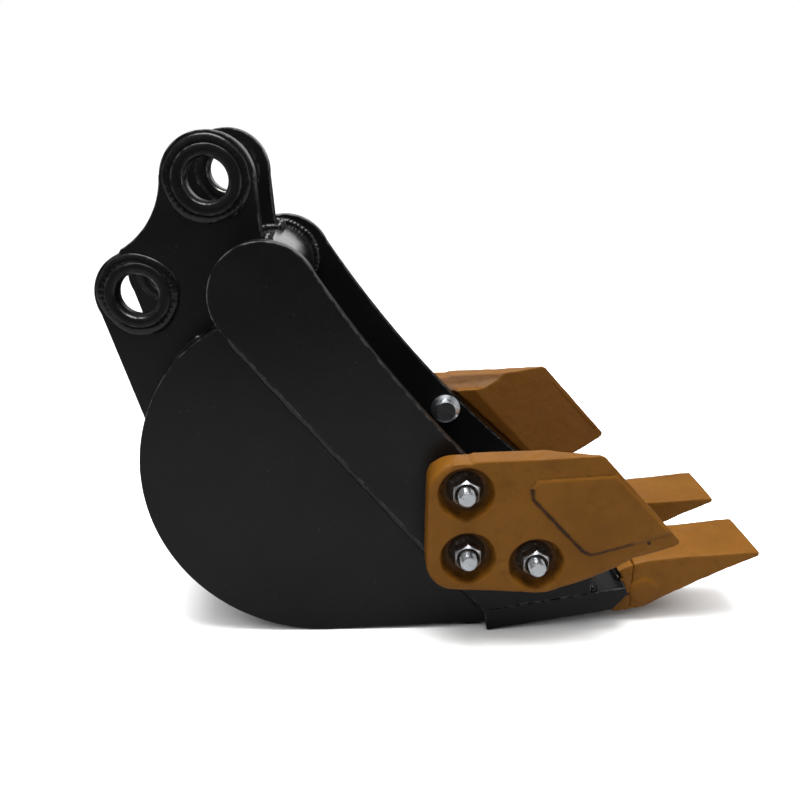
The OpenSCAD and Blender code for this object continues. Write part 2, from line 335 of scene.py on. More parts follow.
def apply_modifier(piece, kind, **settings):
    """Adds a modifier with its settings and applies it."""
    only(piece)
    step = piece.modifiers.new(kind.lower(), kind)
    for key, value in settings.items():
        setattr(step, key, value)
    bpy.ops.object.modifier_apply(modifier=step.name)


def merged_copy(cad_node, name):
    """A copy of a CAD node with its loose triangles joined into clean faces."""
    piece = bpy.data.objects.new(name, frame["nodes"][cad_node].data.copy())
    bpy.context.collection.objects.link(piece)
    piece.data.materials.clear()
    only(piece)
    bpy.ops.object.mode_set(mode="EDIT")
    bpy.ops.mesh.select_all(action="SELECT")
    bpy.ops.mesh.customdata_custom_splitnormals_clear()
    bpy.ops.mesh.remove_doubles(threshold=0.00001)
    bpy.ops.mesh.dissolve_limited(angle_limit=math.radians(0.5))
    bpy.ops.object.mode_set(mode="OBJECT")
    return piece


def in_service(piece, slot, material, *replaced):
    """Gives a piece its finish and its place on the part, and hides the CAD parts it stands for."""
    piece.data.materials.clear()
    piece.data.materials.append(material)
    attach(piece, "root")
    if replaced:
        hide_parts(*replaced)


def broken_edges(piece, radius, segments=3):
    """Rounds every sharp edge and keeps the flats flat."""
    apply_modifier(piece, "BEVEL", width=radius, segments=segments, limit_method="ANGLE",
                   angle_limit=math.radians(35), use_clamp_overlap=False, harden_normals=False)
    only(piece)
    bpy.ops.object.shade_smooth_by_angle(angle=math.radians(40))
    apply_modifier(piece, "WEIGHTED_NORMAL", keep_sharp=True, weight=100)


# How far each plate's edges are broken, and its paint
plates = {"cross_tube": (0.0003, tube_paint), "wrapper": (0.0004, plate_paint),
          "lip_plate": (0.0009, plate_paint),
          "side_bar_right": (0.0008, bar_paint), "side_bar_left": (0.0008, bar_paint),
          "cheek_plate_right": (0.0004, plate_paint), "cheek_plate_left": (0.0004, plate_paint),
          "ear_right": (0.0009, bar_paint), "ear_left": (0.0009, bar_paint)}
for cad_node, (radius, paint) in plates.items():
    plate = merged_copy(cad_node, cad_node + "_steel")
    broken_edges(plate, radius)
    in_service(plate, "black_paint", paint, cad_node)


# ---------------------------------------------------------------- pin bosses
# Turned steel sleeves pressed through the ears and welded round, with a 30 mm
# running bore. The bore's mouth is chamfered and rubbed bright by the pins.
bright_steel, tree, shader = new_material("rubbed bore steel")
where = node(tree, "ShaderNodeTexCoord").outputs["Object"]
scuffs = noise_field(tree, where, 90, 5)
colour = mix_colour(tree, ramp(tree, scuffs, 0.45, 0.66), (0.02, 0.02, 0.022), (0.26, 0.25, 0.24))
tree.links.new(colour, shader.inputs["Base Color"])
tree.links.new(ramp(tree, scuffs, 0.3, 0.7, 0.42, 0.22), shader.inputs["Roughness"])
tree.links.new(ramp(tree, scuffs, 0.35, 0.5), shader.inputs["Metallic"])
boss_paint = black_paint("black boss paint", 0.3, 0.8)


def turned(name, profile, centre, steps=72):
    """Spins a closed profile of (distance along Y, radius) round an axis along Y."""
    bpy.ops.mesh.primitive_circle_add(vertices=len(profile), fill_type="NOTHING")
    piece = bpy.context.object
    piece.name = name
    for vertex, (y, radius) in zip(piece.data.vertices, profile):
        vertex.co = (centre[0] + radius, y, centre[2])
    bpy.ops.object.mode_set(mode="EDIT")
    bpy.ops.mesh.select_all(action="SELECT")
    bpy.ops.mesh.spin(steps=steps, angle=2 * math.pi, center=centre, axis=(0, 1, 0))
    bpy.ops.mesh.select_all(action="SELECT")
    bpy.ops.mesh.remove_doubles(threshold=0.00002)
    bpy.ops.mesh.normals_make_consistent(inside=False)
    bpy.ops.object.mode_set(mode="OBJECT")
    return piece


bore_radius = 0.015
chamfer = 0.0016
pins = {mount["name"]: mount["pos_m"] for mount in frame["record"]["mounts"]}
boss_places = {"stick_boss": pins["stick_pin_bore"], "link_boss": pins["link_pin_bore"]}
for boss_name, place in boss_places.items():
    for side, hand in ((-1, "right"), (1, "left")):
        cad_node = f"{boss_name}_{hand}"
        low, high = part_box(cad_node)
        outer = (high.x - low.x) / 2
        inner_face, outer_face = sorted((low.y, high.y), key=abs)
        inward = -side
        mouth = bore_radius + chamfer
        boss = turned(cad_node + "_sleeve", (
            (inner_face, mouth), (inner_face, outer - 0.0006), (inner_face - inward * 0.0006, outer),
            (outer_face + inward * 0.0009, outer), (outer_face + inward * 0.0003, outer - 0.0003),
            (outer_face, outer - 0.001), (outer_face, mouth + 0.0002),
            (outer_face + inward * 0.0002, mouth - 0.0001), (outer_face + inward * chamfer, bore_radius),
            (inner_face - inward * chamfer, bore_radius)), (place[0], 0, place[2]))
        only(boss)
        bpy.ops.object.shade_smooth_by_angle(angle=math.radians(50))
        in_service(boss, "boss_paint", boss_paint, cad_node)
        boss.data.materials.append(bright_steel)
        for face in boss.data.polygons:
            radius = math.hypot(face.center.x - place[0], face.center.z - place[2])
            if bore_radius + 0.0001 < radius < mouth - 0.0002:
                face.material_index = 1


# ---------------------------------------------------------------- weld beads
# The shell is joined by hand-laid beads, rippled crossways where each puddle
# froze, a little uneven in width, and sprayed over with the same black.
weld_paint = black_paint("black paint on weld", 0.2, 0.5, 0.9, 0.42)


def weld_bead(name, path, outward, width, height, closed=False, pitch=0.0032, depth=0.14, seed=0,
              replaces=()):
    """A rippled bead along a path; outward gives the way its crown faces."""
    points = [Vector(p) for p in path]
    count = len(points)
    around = 12
    bpy.ops.object.select_all(action="DESELECT")
    bpy.ops.mesh.primitive_grid_add(x_subdivisions=count - 1 + closed, y_subdivisions=around, size=1)
    bead = bpy.context.object
    bead.name = name
    run = 0.0
    rings = []
    for i in range(count + closed):
        here = points[i % count]
        before = points[(i - 1) % count] if closed or i else here
        after = points[(i + 1) % count] if closed or i < count - 1 else here
        crown = (outward(here) if callable(outward) else Vector(outward)).normalized()
        sideways = (after - before).normalized().cross(crown)
        rings.append((here, crown, sideways, run))
        run += (points[(i + 1) % count] - here).length
    total = rings[-1][3]
    ripples = max(1, round(total / pitch))
    for vertex in bead.data.vertices:
        i = round((vertex.co.x + 0.5) * (count - 1 + closed))
        turn = 2 * math.pi * round((vertex.co.y + 0.5) * around) / around
        here, crown, sideways, along = rings[i]
        end = 1 if closed else min(1, along / width, (total - along) / width)
        end = math.sqrt(max(0, 1 - (1 - end) ** 2))
        shiver = 0.4 * noise.noise((along * 120, seed, 0))
        phase = (ripples * along / total + 0.3 * math.cos(turn) ** 2 + shiver) % 1
        ripple = 1 + depth * (phase ** 2 - 0.4)
        loose = 0 if closed and i in (0, count) else 1
        sway = 0.12 * width * noise.noise((along * 70, 5.5, seed)) * loose
        swell = 1 + 0.16 * noise.noise((along * 45, seed, 2.5)) * loose
        across = sideways * (math.cos(turn) * width / 2 * swell * end + sway * end)
        up = crown * (max(math.sin(turn), -0.5) * height * ripple * swell * end)
        vertex.co = here + across + up
    bpy.ops.object.mode_set(mode="EDIT")
    bpy.ops.mesh.select_all(action="SELECT")
    bpy.ops.mesh.remove_doubles(threshold=0.00002)
    bpy.ops.mesh.normals_make_consistent(inside=False)
    bpy.ops.object.mode_set(mode="OBJECT")
    only(bead)
    bpy.ops.object.shade_smooth_by_angle(angle=math.radians(60))
    in_service(bead, "weld_paint", weld_paint, *replaces)
    return bead


def arc(centre, radius, y, start, stop, step=0.0007):
    """Points on a circle about an axis along Y, between two angles in degrees."""
    count = max(8, round(math.radians(abs(stop - start)) * radius / step))
    closed = abs(stop - start) == 360
    gaps = count if closed else count - 1
    angles = [math.radians(start + (stop - start) * i / gaps) for i in range(count)]
    return [(centre[0] + radius * math.cos(a), y, centre[1] + radius * math.sin(a)) for a in angles]


def straight(start, stop, step=0.0007):
    """Points along a line between two places."""
    start, stop = Vector(start), Vector(stop)
    count = max(8, round((stop - start).length / step))
    return [start.lerp(stop, i / (count - 1)) for i in range(count)]


tube_low, tube_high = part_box("cross_tube")
tube_centre = ((tube_low.x + tube_high.x) / 2, (tube_low.z + tube_high.z) / 2)
tube_radius = (tube_high.x - tube_low.x) / 2


def away_from(centre, share):
    """The way out from an axis, tilted towards a Y direction by a share."""
    return lambda p: Vector((p.x - centre[0], 0, p.z - centre[1])).normalized() + Vector((0, share, 0))


ear_low, ear_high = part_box("ear_right")
boss_weld_radius = {"stick_boss": 0.0252, "link_boss": 0.0242}
# The wrapper's outside: a drum arc, and a tighter one up the back from a turn
drum_centre = (0.0735, -0.204)
drum_radius = 0.1285
back_turn = 147.2
tighter_by = 0.026
back_centre = (drum_centre[0] + tighter_by * math.cos(math.radians(back_turn)),
               drum_centre[1] + tighter_by * math.sin(math.radians(back_turn)))
back_radius = drum_radius - tighter_by
# Distances from the middle plane at which beads run
ear_weld_y = 0.0494
tube_weld_y = 0.0735
seam_weld_y = 0.0792
cheek_weld_y = 0.0738
lip_weld_y = 0.0733


def off_drum(lean):
    """The way out from the drum's axis, with a lean along Y added."""
    return lambda p: (Vector((p.x - drum_centre[0], 0, p.z - drum_centre[1])).normalized()
                      + Vector((0, lean, 0)))


for side, hand in ((-1, "right"), (1, "left")):
    rings = []
    for boss_name, place in boss_places.items():
        centre = (place[0], place[2])
        ring = arc(centre, boss_weld_radius[boss_name], side * ear_weld_y, 0, 360)
        rings.append(weld_bead(
            f"{boss_name}_ring_weld_{hand}", ring, (0, side, 0), 0.0100, 0.0024, closed=True,
            pitch=0.0042, depth=0.07, seed=3 * side + len(rings)))
    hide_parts(f"boss_weld_{hand}")
    weld_bead(f"tube_end_weld_{hand}", arc(tube_centre, tube_radius + 0.0005, side * tube_weld_y, 0, 360),
              away_from(tube_centre, -side), 0.0080, 0.0036, closed=True, pitch=0.0034, depth=0.3,
              seed=7 * side, replaces=(f"tube_weld_{hand}",))
    weld_bead(f"bar_seam_weld_{hand}",
              straight((0.0125, side * seam_weld_y, -0.1032), (0.193, side * seam_weld_y, -0.3175)),
              (-0.77 * 0.6, side, -0.64 * 0.6), 0.0090, 0.0029, pitch=0.0036, seed=11 * side,
              replaces=(f"bar_weld_{hand}",))
    for face, outward in ((ear_low.y, -1), (ear_high.y, 1)):
        y = -side * face
        lean = -side * outward
        label = "outer" if outward < 0 else "inner"
        weld_bead(f"ear_drum_weld_{label}_{hand}",
                  arc(back_centre, back_radius + 0.0006, y, 128, back_turn)
                  + arc(drum_centre, drum_radius + 0.0006, y, back_turn + 0.4, 169),
                  off_drum(lean), 0.0065, 0.003, pitch=0.0036, seed=13 * side + outward)
        weld_bead(f"ear_tube_weld_{label}_{hand}", arc(tube_centre, tube_radius + 0.0004, y, 82, 176),
                  away_from(tube_centre, lean), 0.0075, 0.0034, pitch=0.0034, seed=17 * side + outward)
    toe_x = tube_centre[0] + 0.0026
    toe_z = tube_centre[1] + tube_radius + 0.0004
    weld_bead(f"ear_toe_weld_{hand}", [(toe_x, side * (0.036 + 0.0006 * i), toe_z) for i in range(26)],
              (0.4, 0, 1), 0.0090, 0.0050, pitch=0.0034, depth=0.4, seed=19 * side)
    y = side * cheek_weld_y
    weld_bead(f"cheek_drum_weld_{hand}",
              arc(back_centre, back_radius - 0.001, y, 112, back_turn)
              + arc(drum_centre, drum_radius - 0.001, y, back_turn + 0.3, 272)
              + straight((0.0795, y, -0.3314), (0.195, y, -0.3318))[2:],
              off_drum(-side), 0.0045, 0.0019, pitch=0.0036, seed=23 * side)
    weld_bead(f"bar_lip_weld_{hand}",
              straight((0.215, side * lip_weld_y, -0.3128), (0.2735, side * lip_weld_y, -0.3028)),
              (0, -side, 1), 0.007, 0.0034, pitch=0.0036, seed=29 * side)
    weld_bead(f"bar_toe_weld_{hand}",
              [(0.2765, side * (0.0725 + 0.0006 * i), -0.3016) for i in range(19)],
              (1, 0, 1), 0.008, 0.0042, pitch=0.0034, seed=31 * side)


# ---------------------------------------------------------------- adapters
# Each adapter is a sand casting welded to the front edge of the lip, with a
# tapered nose, out of sight, that carries the tooth. Like the teeth and the
# side cutters it has a grainy skin and one coat of ochre gold paint.
def gold_paint(name, stained_shaded_pockets=(), painted_shade_lines=()):
    """Ochre gold paint over a cast skin, with painted shade and painted edge glints.

    Each pocket (x, z, radius) in the first list is darkened inside by a grime stain and painted shade;
    each line (x, z, x, z) in the second list gives the ends of a line of painted shadow on an outer face.
    """
    material, tree, shader = new_material(name)
    where = node(tree, "ShaderNodeTexCoord").outputs["Object"]
    clouds = ramp(tree, noise_field(tree, where, 24, 5), 0.32, 0.68)
    colour = mix_colour(tree, clouds, (0.222, 0.086, 0.0080), (0.280, 0.111, 0.0118))
    mottle = ramp(tree, noise_field(tree, where, 130, 4), 0.55, 0.75, 0.0, 0.5)
    colour = mix_colour(tree, mottle, colour, (0.175, 0.064, 0.0065))
    # Painted shade: faces turned to the inside of the bucket are darkened
    surface = node(tree, "ShaderNodeNewGeometry")
    lean = node(tree, "ShaderNodeVectorMath", {0: where, 1: surface.outputs["Normal"]},
                operation="MULTIPLY")
    inward = node(tree, "ShaderNodeSeparateXYZ", {0: lean.outputs["Vector"]}).outputs["Y"]
    colour = mix_colour(tree, ramp(tree, inward, -0.03, -0.07, 0.0, 0.6), colour, (0.085, 0.028, 0.003))
    hollows = surface.outputs["Pointiness"]
    patches = noise_field(tree, where, 85, 4)
    # Darker in the hollows, in patches; the same dark brown also draws the painted shadow lines
    dark_hollow_and_shade_colour = (0.020, 0.010, 0.005)
    hollow_darkening = combine(tree, "MULTIPLY", ramp(tree, hollows, 0.494, 0.46), ramp(tree, patches, 0.12, 0.4))
    colour = mix_colour(tree, combine(tree, "MULTIPLY", hollow_darkening, 0.92), colour, dark_hollow_and_shade_colour)
    # Painted highlight: convex edges are lightened in patches, as glints
    painted_edge_glint = combine(tree, "MULTIPLY", ramp(tree, hollows, 0.53, 0.58),
                   ramp(tree, patches, 0.45, 0.62, 0.1, 0.6))
    colour = mix_colour(tree, painted_edge_glint, colour, (0.50, 0.30, 0.13))
    # Each nut pocket is darkened inside by a grime stain and painted shade
    for x, z, radius in stained_shaded_pockets:
        flat = node(tree, "ShaderNodeVectorMath", {0: where}, operation="MULTIPLY")
        flat.inputs[1].default_value = (1, 0, 1)
        reach = node(tree, "ShaderNodeVectorMath", {0: flat.outputs["Vector"]}, operation="DISTANCE")
        reach.inputs[1].default_value = (x, 0, z)
        blur = ramp(tree, noise_field(tree, where, 120, 4), 0.3, 0.7, -0.002, 0.002)
        blurred = combine(tree, "ADD", reach.outputs["Value"], blur)
        depth = ramp(tree, blurred, radius, radius - 0.004, 0.0, 0.75)
        colour = mix_colour(tree, depth, colour, (0.060, 0.028, 0.010))
    # Painted shadow along each listed line, on outer faces only
    for x1, z1, x2, z2 in painted_shade_lines:
        line = node(tree, "ShaderNodeMapping", {0: where}, vector_type="TEXTURE")
        line.inputs["Location"].default_value = ((x1 + x2) / 2, 0, (z1 + z2) / 2)
        line.inputs["Rotation"].default_value = (0, math.atan2(z1 - z2, x2 - x1), 0)
        parts = node(tree, "ShaderNodeSeparateXYZ", {0: line.outputs["Vector"]}).outputs
        half = math.hypot(x2 - x1, z2 - z1) / 2
        ragged = ramp(tree, noise_field(tree, where, 150, 4), 0.3, 0.7, -0.0006, 0.0006)
        across = combine(tree, "ADD", combine(tree, "ABSOLUTE", parts["Z"], 0), ragged)
        shade_line = combine(tree, "MULTIPLY", ramp(tree, across, 0.0022, 0.0003),
                       ramp(tree, inward, 0.0, 0.03, 0.0, 0.85))
        ends = ramp(tree, combine(tree, "ABSOLUTE", parts["X"], 0), half + 0.0008, half - 0.0002)
        colour = mix_colour(tree, combine(tree, "MULTIPLY", shade_line, ends), colour, dark_hollow_and_shade_colour)
    flecks = use_effect(tree, specks, where, Scale=75.0, Size=0.13, Share=0.9)
    colour = mix_colour(tree, combine(tree, "MULTIPLY", flecks, 0.85), colour, (0.02, 0.014, 0.01))
    tree.links.new(colour, shader.inputs["Base Color"])
    gloss = ramp(tree, noise_field(tree, where, 60, 4), 0.3, 0.7, 0.36, 0.52)
    tree.links.new(gloss, shader.inputs["Roughness"])
    shader.inputs["Specular IOR Level"].default_value = 0.18
    grain = use_effect(tree, skin_relief, where, Scale=700.0, Depth=1.0)
    add_bump(tree, shader, grain, 0.0006, 0.5)
    return material


tooth_paint = gold_paint("gold paint on teeth")
cast_skin = bpy.data.textures.new("cast skin", "CLOUDS")
cast_skin.noise_scale = 0.011
cast_skin.noise_depth = 3


def as_cast(piece, grid, smoothing, unevenness):
    """Gives a sharp shape the soft edges and uneven skin of a casting."""
    apply_modifier(piece, "REMESH", mode="VOXEL", voxel_size=grid, use_smooth_shade=True)
    apply_modifier(piece, "SMOOTH", factor=0.5, iterations=smoothing)
    apply_modifier(piece, "DISPLACE", texture=cast_skin, texture_coords="LOCAL", strength=unevenness,
                   mid_level=0.5)
    only(piece)
    bpy.ops.object.shade_smooth()


def left_copy(piece, name):
    """The mirror image of a right-hand piece."""
    twin = bpy.data.objects.new(name, piece.data.copy())
    bpy.context.collection.objects.link(twin)
    twin.data.transform(Matrix.Diagonal((1, -1, 1, 1)))
    twin.data.flip_normals()
    return twin


adapter = merged_copy("tooth_adapter_right", "tooth_adapter_casting_right")
cast_grid = 0.0008
as_cast(adapter, cast_grid, 4, 0.0005)
adapter_twin = left_copy(adapter, "tooth_adapter_casting_left")
in_service(adapter_twin, "gold_paint", tooth_paint, "tooth_adapter_left")
in_service(adapter, "gold_paint", tooth_paint, "tooth_adapter_right")
for side, hand in ((-1, "right"), (1, "left")):
    weld_bead(f"adapter_weld_{hand}",
              straight((0.2990, side * 0.0235, -0.2980), (0.2990, side * 0.0725, -0.2980)),
              (-0.6, 0, 0.8), 0.0065, 0.0028, pitch=0.0036, seed=37 * side)


# ---------------------------------------------------------------- teeth
# A tooth is a hollow cast cap. Its rear is a deep box with bevelled upper
# edges and a round pad over the pin; its front runs out to a chisel edge.
tooth_inner = -0.022
tooth_outer = -0.074
pin_place = (0.3147, 0, -0.308)
pad_place = (0.3187, 0, -0.308)
# Sections in millimetres: x, bottom, top, bevel across, bevel down
stations = ((308.9, -323.6, -283.6, 4.0, 1.2),
            (320.0, -321.6, -280.2, 6.0, 1.6),
            (332.0, -314.6, -278.8, 6.0, 1.6),
            (347.0, -306.2, -277.1, 5.0, 1.4),
            (363.0, -297.4, -276.2, 4.0, 1.2),
            (380.0, -288.6, -275.2, 2.5, 0.8),
            (393.0, -282.4, -274.2, 1.2, 0.5),
            (403.6, -277.4, -273.8, 1.0, 0.4))
flare_start = 335
flare_run = 70
flare_reach = 0.003
bpy.ops.object.select_all(action="DESELECT")
bpy.ops.mesh.primitive_circle_add(vertices=6, fill_type="NGON")
tooth = bpy.context.object
tooth.name = "tooth_casting_right"


def tooth_section(x, bottom, top, across, down):
    """Six corners of the tooth's cross-section, in metres, flared to the cutting edge."""
    flare = flare_reach * max(0, (x - flare_start) / flare_run)
    inner, outer = tooth_inner + flare, tooth_outer - flare
    corners = ((inner, bottom), (inner, top - down), (inner - across / 1000, top),
               (outer + across / 1000, top), (outer, top - down), (outer, bottom))
    return [Vector((x / 1000, y, z / 1000)) for y, z in corners]


for vertex, place in zip(tooth.data.vertices, tooth_section(*stations[0])):
    vertex.co = place
tooth.data.update()
for station in stations[1:]:
    bpy.ops.object.mode_set(mode="EDIT")
    bpy.ops.mesh.extrude_region_move(TRANSFORM_OT_translate={"value": (0.01, 0, 0)})
    bpy.ops.object.mode_set(mode="OBJECT")
    front = [vertex for vertex in tooth.data.vertices if vertex.select]
    for vertex, place in zip(front, tooth_section(*station)):
        vertex.co = place
    tooth.data.update()
bpy.ops.object.mode_set(mode="EDIT")
bpy.ops.mesh.select_all(action="SELECT")
bpy.ops.mesh.normals_make_consistent(inside=False)
bpy.ops.object.mode_set(mode="OBJECT")


def cut_away(piece, tool, operation="DIFFERENCE"):
    """Cuts a tool's shape from a piece, or joins it on, and removes the tool."""
    apply_modifier(piece, "BOOLEAN", object=tool, operation=operation, solver="MANIFOLD")
    bpy.data.objects.remove(tool)


pad = turned("pad_tool", (
    (tooth_outer + 0.002, 0.0001), (tooth_outer + 0.002, 0.0125), (tooth_outer - 0.0002, 0.0120),
    (tooth_outer - 0.0014, 0.0095), (tooth_outer - 0.0014, 0.0001)), pad_place, 48)
cut_away(tooth, pad, "UNION")
pin_hole = turned("hole_tool", (
    (tooth_inner - 0.003, 0.0001), (tooth_inner - 0.003, 0.005),
    (tooth_inner + 0.002, 0.005), (tooth_inner + 0.002, 0.0001)), pin_place, 32)
cut_away(tooth, pin_hole)
as_cast(tooth, cast_grid, 5, 0.0006)
in_service(left_copy(tooth, "tooth_casting_left"), "gold_paint", tooth_paint, "tooth_left")
in_service(tooth, "gold_paint", tooth_paint, "tooth_right")


# ---------------------------------------------------------------- tooth pins
# A plain steel pin goes in from the tooth's inner side, and a lock ring
# closes the hole behind it.
pin_steel, tree, shader = new_material("pin steel")
where = node(tree, "ShaderNodeTexCoord").outputs["Object"]
tarnish = noise_field(tree, where, 180, 4)
colour = mix_colour(tree, ramp(tree, tarnish, 0.35, 0.65), (0.16, 0.15, 0.14), (0.36, 0.35, 0.34))
tree.links.new(colour, shader.inputs["Base Color"])
tree.links.new(ramp(tree, tarnish, 0.3, 0.7, 0.5, 0.32), shader.inputs["Roughness"])
shader.inputs["Metallic"].default_value = 1
for cad_node in ("tooth_pin_right", "tooth_pin_left", "pin_lock_right", "pin_lock_left"):
    pin = merged_copy(cad_node, cad_node + "_steel")
    broken_edges(pin, 0.0003, 2)
    in_service(pin, "pin_steel", pin_steel, cad_node)


# ---------------------------------------------------------------- side cutters
# A side cutter is a thick casting bolted to the side bar. Three pockets hold
# the nuts, a raised panel stiffens the blade, and the blade thins on its
# inner side to its front edge.
def prism(name, outline, near, thickness):
    """A plate with a side outline of (x, z), from y = near to y = near + thickness."""
    bpy.ops.object.select_all(action="DESELECT")
    bpy.ops.mesh.primitive_circle_add(vertices=len(outline), fill_type="NGON")
    piece = bpy.context.object
    piece.name = name
    for vertex, (x, z) in zip(piece.data.vertices, outline):
        vertex.co = (x, near, z)
    piece.data.update()
    bpy.ops.object.mode_set(mode="EDIT")
    bpy.ops.mesh.select_all(action="SELECT")
    bpy.ops.mesh.extrude_region_move(TRANSFORM_OT_translate={"value": (0, thickness, 0)})
    bpy.ops.mesh.select_all(action="SELECT")
    bpy.ops.mesh.normals_make_consistent(inside=False)
    bpy.ops.object.mode_set(mode="OBJECT")
    return piece


def section_bar(name, section, base, ahead, along, reach):
    """A long bar with a section of (ahead, y), run both ways along a direction."""
    bar = prism(name, [(math.cos(i), math.sin(i)) for i in range(len(section))], 0, 0.01)
    for i, vertex in enumerate(bar.data.vertices):
        step, y = section[i % len(section)]
        run = reach if i < len(section) else -reach
        vertex.co = base + ahead * step + along * run + Vector((0, y, 0))
    bar.data.update()
    only(bar)
    bpy.ops.object.mode_set(mode="EDIT")
    bpy.ops.mesh.select_all(action="SELECT")
    bpy.ops.mesh.normals_make_consistent(inside=False)
    bpy.ops.object.mode_set(mode="OBJECT")
    return bar


def bevel_edges(piece, chosen, offset, segments=3):
    """Bevels, in edit mode, the edges whose two ends pass a test."""
    for part in (piece.data.vertices, piece.data.edges, piece.data.polygons):
        part.foreach_set("select", [False] * len(part))
    for edge in piece.data.edges:
        edge.select = chosen(*[piece.data.vertices[i].co for i in edge.vertices])
    only(piece)
    bpy.ops.object.mode_set(mode="EDIT")
    bpy.ops.mesh.select_mode(type="EDGE")
    bpy.ops.mesh.bevel(offset=offset, segments=segments, profile=0.5, affect="EDGES",
                       clamp_overlap=False)
    bpy.ops.object.mode_set(mode="OBJECT")


bolt_places = ((0.175, -0.208), (0.1774, -0.2575), (0.2263, -0.263))
# How far out from each bolt a grime stain and painted shade darken the pocket
pocket_stain_and_shade_radius = 0.0198
# The ends of the lines of painted shadow at the lower and left foot of the raised panel
painted_shade_lines = ((0.2209, -0.2042, 0.2216, -0.2118), (0.2216, -0.2118, 0.2585, -0.2524),
           (0.2585, -0.2524, 0.2648, -0.2556), (0.2648, -0.2556, 0.2940, -0.2475))
# Nut pockets darkened inside by a grime stain and painted shade
stained_shaded_pockets = [(x, z, pocket_stain_and_shade_radius) for x, z in bolt_places]
cutter_paint = gold_paint("gold paint on cutters", stained_shaded_pockets, painted_shade_lines)
cutter_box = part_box("side_cutter_right")
cutter_face = cutter_box[0].y
corner_radius = 0.0213
pocket_depth = 0.0115
bar_side = -0.084
well_inside = -0.02
# Its outline: two rounded rear corners, the foot, the blade and the top edge
outline = [(x + corner_radius * math.cos(math.radians(a)), z + corner_radius * math.sin(math.radians(a)))
           for x, z, first in ((0.1698, -0.206, 90), (0.169, -0.2625, 180))
           for a in range(first, first + 91, 10)]
outline += [(x / 1000, z / 1000) for x, z in (
    (201, -285.5), (226.6, -287.5), (233.9, -287.2), (241, -285.2), (266, -276.3), (284.8, -267.7),
    (296, -260.6), (307.6, -256.8), (324, -250.4), (327.4, -248.6), (328, -245.8), (270.2, -181.2),
    (267, -179.9), (218, -181.9), (180.4, -183.1), (177.8, -184.6))]
cutter = prism("side_cutter_casting_right", outline, cutter_face, cutter_box[1].y - cutter_face)
blade_top = Vector((0.2687, 0, -0.18))
blade_foot = Vector((0.328, 0, -0.2458))
blade_run = (blade_foot - blade_top).normalized()
blade_ahead = Vector((-blade_run.z, 0, blade_run.x))


def on_outer_rim(a, b):
    """An edge of the outer face, back of the blade's front edge."""
    flush = max(abs(a.y - cutter_face), abs(b.y - cutter_face)) < 1e-5
    foremost = max((a - blade_top).dot(blade_ahead), (b - blade_top).dot(blade_ahead))
    return flush and foremost < -0.012


def on_top_rim(a, b):
    """The long top edge of the outer face, which is cast crisper than the rest."""
    return on_outer_rim(a, b) and min(a.z, b.z) > -0.1885 and min(a.x, b.x) > 0.1697


bevel_edges(cutter, on_top_rim, 0.0016, 2)
bevel_edges(cutter, lambda a, b: on_outer_rim(a, b) and not on_top_rim(a, b), 0.004, 3)
# The inner side falls away to the top edge
top_turn = math.radians(2.7)
along_top = Vector((math.cos(top_turn), 0, math.sin(top_turn)))
above_top = Vector((-math.sin(top_turn), 0, math.cos(top_turn)))
cut_away(cutter, section_bar("top_tool", (
    (0.004, -0.095), (0, -0.095), (-0.009, bar_side), (-0.009, -0.074), (0.004, -0.074)),
    Vector((0.21, 0, -0.1828)), above_top, along_top, 0.08))
# The seat on the bar, with the sloped shoulder that hooks over its edge
shoulder_top = -0.0795
bar_edge = Vector((0.238, 0, -0.249))
bar_turn = math.radians(47.1)
bar_ahead = Vector((math.cos(bar_turn), 0, math.sin(bar_turn)))
along_bar = Vector((-bar_ahead.z, 0, bar_ahead.x))
cut_away(cutter, section_bar("seat_tool", (
    (0.0008, bar_side), (0.0053, shoulder_top), (0.0053, well_inside), (-0.2, well_inside),
    (-0.2, bar_side)), bar_edge, bar_ahead, along_bar, 0.2))
# The blade thins on its inner side to its front edge
cut_away(cutter, section_bar("thinning_tool", (
    (0.01, cutter_face - 0.0031), (0, cutter_face + 0.0022), (-0.0585, shoulder_top),
    (-0.0585, well_inside), (0.01, well_inside)), blade_top, blade_ahead, blade_run, 0.3))
# The raised panel, with sloped sides
panel = prism("panel_tool", [(x / 1000, z / 1000) for x, z in (
    (224, -197.5), (279, -194.5), (321, -239.5), (269, -255), (264.5, -255.2), (258.5, -252),
    (222, -212), (221, -203))],
    cutter_face + 0.004, -0.0056)
bevel_edges(panel, lambda a, b: max(a.y, b.y) < cutter_face, 0.0018, 2)
cut_away(cutter, panel, "UNION")
# The pockets and the bolt holes
for x, z in bolt_places:
    pocket = turned("pocket_tool", (
        (cutter_face - 0.004, 0.0001), (cutter_face - 0.004, 0.0228), (cutter_face + 0.0008, 0.0198),
        (cutter_face + 0.004, 0.0188), (cutter_face + 0.0085, 0.0180), (cutter_face + 0.0110, 0.0160),
        (cutter_face + pocket_depth, 0.0140), (cutter_face + pocket_depth, 0.0001)), (x, 0, z), 64)
    cut_away(cutter, pocket)
    hole = turned("hole_tool", (
        (-0.07, 0.0001), (-0.07, 0.0065), (-0.115, 0.0065), (-0.115, 0.0001)), (x, 0, z), 40)
    cut_away(cutter, hole)
as_cast(cutter, cast_grid, 4, 0.0007)
in_service(left_copy(cutter, "side_cutter_casting_left"), "gold_paint", cutter_paint, "side_cutter_left")
in_service(cutter, "gold_paint", cutter_paint, "side_cutter_right")


